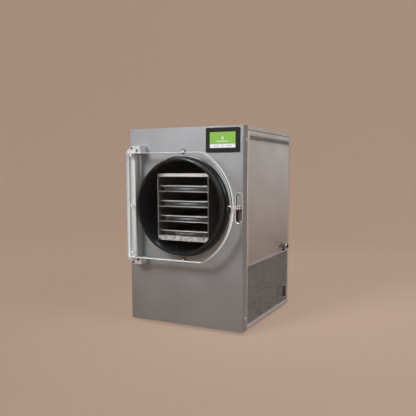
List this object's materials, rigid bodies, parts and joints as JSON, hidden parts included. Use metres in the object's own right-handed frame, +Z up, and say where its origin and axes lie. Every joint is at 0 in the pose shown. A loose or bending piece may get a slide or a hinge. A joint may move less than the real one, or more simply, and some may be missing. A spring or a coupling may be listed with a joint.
{
  "type": "freeze dryer",
  "caption": "Benchtop freeze dryer: vented sheet-metal cabinet, round vacuum chamber with a clear hinged door, heated tray rack, touch display and side vacuum port.",
  "frame": {"origin": "on the floor under the middle of the whole machine, fittings and door knob included", "axes": "+X to the right as the door is faced, +Y from the door to the rear, +Z up"},
  "size_m": [0.4942, 0.5822, 0.718],
  "materials": {
    "stainless": "brushed",
    "side_steel": "satin",
    "galvanised": "satin",
    "rubber_black": "satin",
    "screw_steel": "polished",
    "bezel_black": "satin",
    "screen_glass": "gloss",
    "board_green": "satin",
    "acrylic": "clear",
    "rail_aluminium": "brushed",
    "hinge_aluminium": "satin",
    "knob_black": "gloss",
    "chamber_steel": "polished",
    "foam_black": "matte",
    "copper": "satin",
    "rack_steel": "brushed",
    "pad_silicone": "matte",
    "tray_steel": "brushed",
    "port_steel": "polished",
    "hose_clear": "satin",
    "sensor_black": "satin",
    "compressor_black": "gloss",
    "fin_aluminium": "satin",
    "fan_plastic": "satin",
    "switch_black": "gloss"
  },
  "bodies": {
    "cabinet": {"front_panel": "stainless", "side_panel_right": "side_steel", "side_panel_left": "side_steel", "top_cover": "side_steel", "rear_panel": "side_steel", "base_pan": "galvanised", "feet": "rubber_black", "cabinet_screws": "screw_steel", "display_bezel": "bezel_black", "display_screen": "screen_glass", "display_board": "board_green", "latch_cup": "stainless", "latch_pin": "screw_steel", "hinge_block_upper": "hinge_aluminium", "hinge_block_lower": "hinge_aluminium", "hinge_base": "hinge_aluminium", "hinge_block_screws": "screw_steel", "door_gasket": "rubber_black", "chamber_shell": "chamber_steel", "chamber_insulation": "foam_black", "evaporator_coil": "copper", "chamber_cradles": "galvanised", "vacuum_sensor": "sensor_black", "rack_sides": "rack_steel", "heater_pads": "pad_silicone", "vacuum_port": "port_steel", "vacuum_port_ring": "rubber_black", "vacuum_port_nut": "port_steel", "drain_cap": "rubber_black", "vacuum_hose": "hose_clear", "switch_body": "switch_black", "compressor": "compressor_black", "compressor_mounts": "rubber_black", "condenser_fins": "fin_aluminium", "condenser_tube": "copper", "fan_shroud": "galvanised", "fan_motor": "compressor_black", "filter_drier": "copper", "refrigerant_lines": "copper", "power_inlet": "sensor_black", "control_board": "board_green", "shelf_1": "rack_steel", "shelf_2": "rack_steel", "shelf_3": "rack_steel", "shelf_4": "rack_steel", "shelf_5": "rack_steel", "tray_1": "tray_steel", "tray_2": "tray_steel", "tray_3": "tray_steel", "tray_4": "tray_steel"},
    "door": {"door_plate": "acrylic", "hinge_rail": "rail_aluminium", "hinge_pins": "screw_steel", "rail_screws": "screw_steel", "door_catch": "screw_steel", "door_striker": "screw_steel", "door_knob": "knob_black"},
    "latch": {"latch_lever": "screw_steel"},
    "rocker": {"switch_rocker": "switch_black"},
    "fan": {"fan_blade": "fan_plastic"}
  },
  "joints": [
    {"name": "door_swing", "type": "hinge", "parent": "cabinet", "child": "door", "pos_m": [-0.2075, -0.2339, 0.4425], "axis": [0, 0, -1], "range_deg": [0, 110]},
    {"name": "latch_throw", "type": "hinge", "parent": "cabinet", "child": "latch", "pos_m": [0.1949, -0.1919, 0.449], "axis": [1, 0, 0], "range_deg": [0, 25]},
    {"name": "power_rock", "type": "hinge", "parent": "cabinet", "child": "rocker", "pos_m": [0.209, 0.2386, 0.0705], "axis": [0, -1, 0], "range_deg": [0, 14]},
    {"name": "fan_spin", "type": "hinge", "parent": "cabinet", "child": "fan", "pos_m": [-0.1895, 0.0641, 0.126], "axis": [1, 0, 0], "continuous": true}
  ]
}
